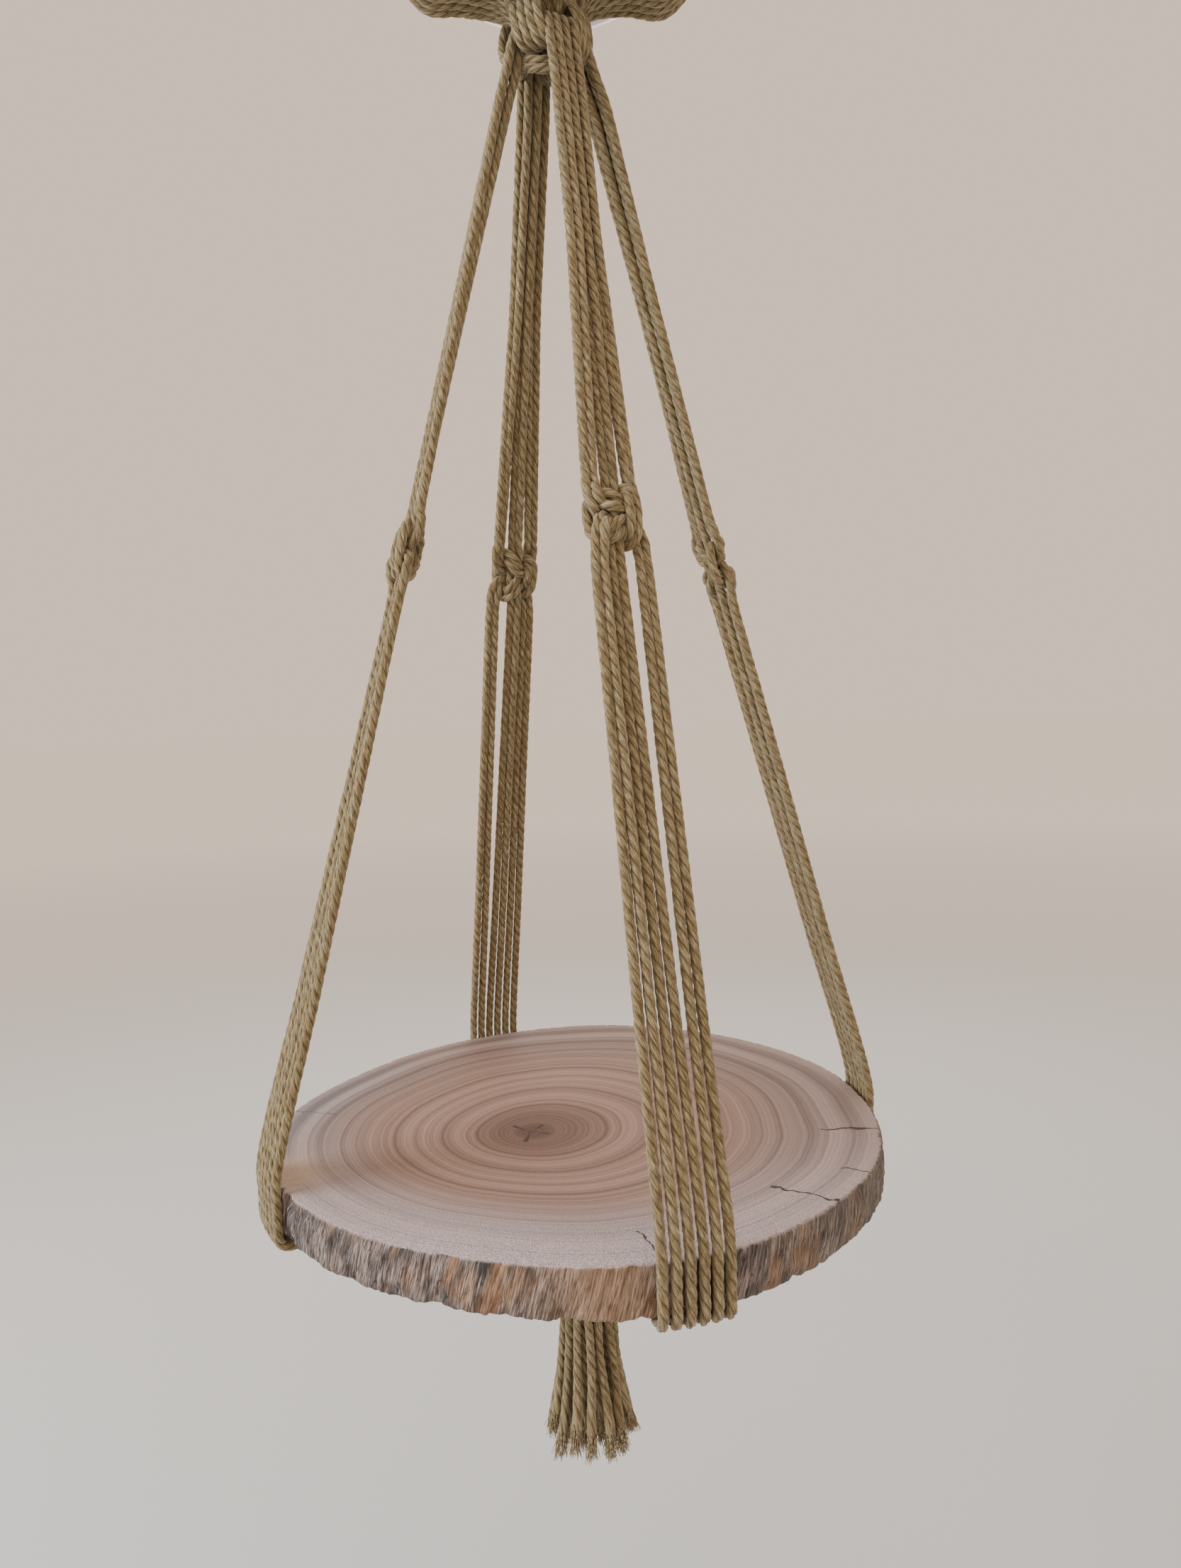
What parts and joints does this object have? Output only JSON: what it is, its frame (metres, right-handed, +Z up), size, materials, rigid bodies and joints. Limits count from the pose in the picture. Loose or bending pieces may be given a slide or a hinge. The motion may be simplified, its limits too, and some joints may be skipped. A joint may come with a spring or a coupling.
{
  "type": "macrame hanging shelf with a wood slice and a bowl",
  "caption": "Hanging shelf of knotted macrame cord that carries a round wood slice under a shallow bowl, gathered below into a frayed tassel.",
  "frame": {"origin": "inside top of the hanging loop, where a hook bears", "axes": "+Z up; -Y towards the viewer of the picture; +X to the viewer's right"},
  "size_m": [0.3101, 0.3045, 1.0828],
  "materials": {
    "cord": "twisted three-ply khaki cord, matt and fibrous",
    "wood": "sawn across the grain, bare, with the bark left on its edge",
    "bowl_glaze": "pale glazed ceramic"
  },
  "bodies": {
    "root": {"slice": "wood", "bowl": "bowl_glaze", "centre_knot": "cord", "leg_front": "cord", "leg_right": "cord", "leg_back": "cord", "leg_left": "cord", "hanger": "cord", "tassel": "cord"}
  },
  "joints": []
}
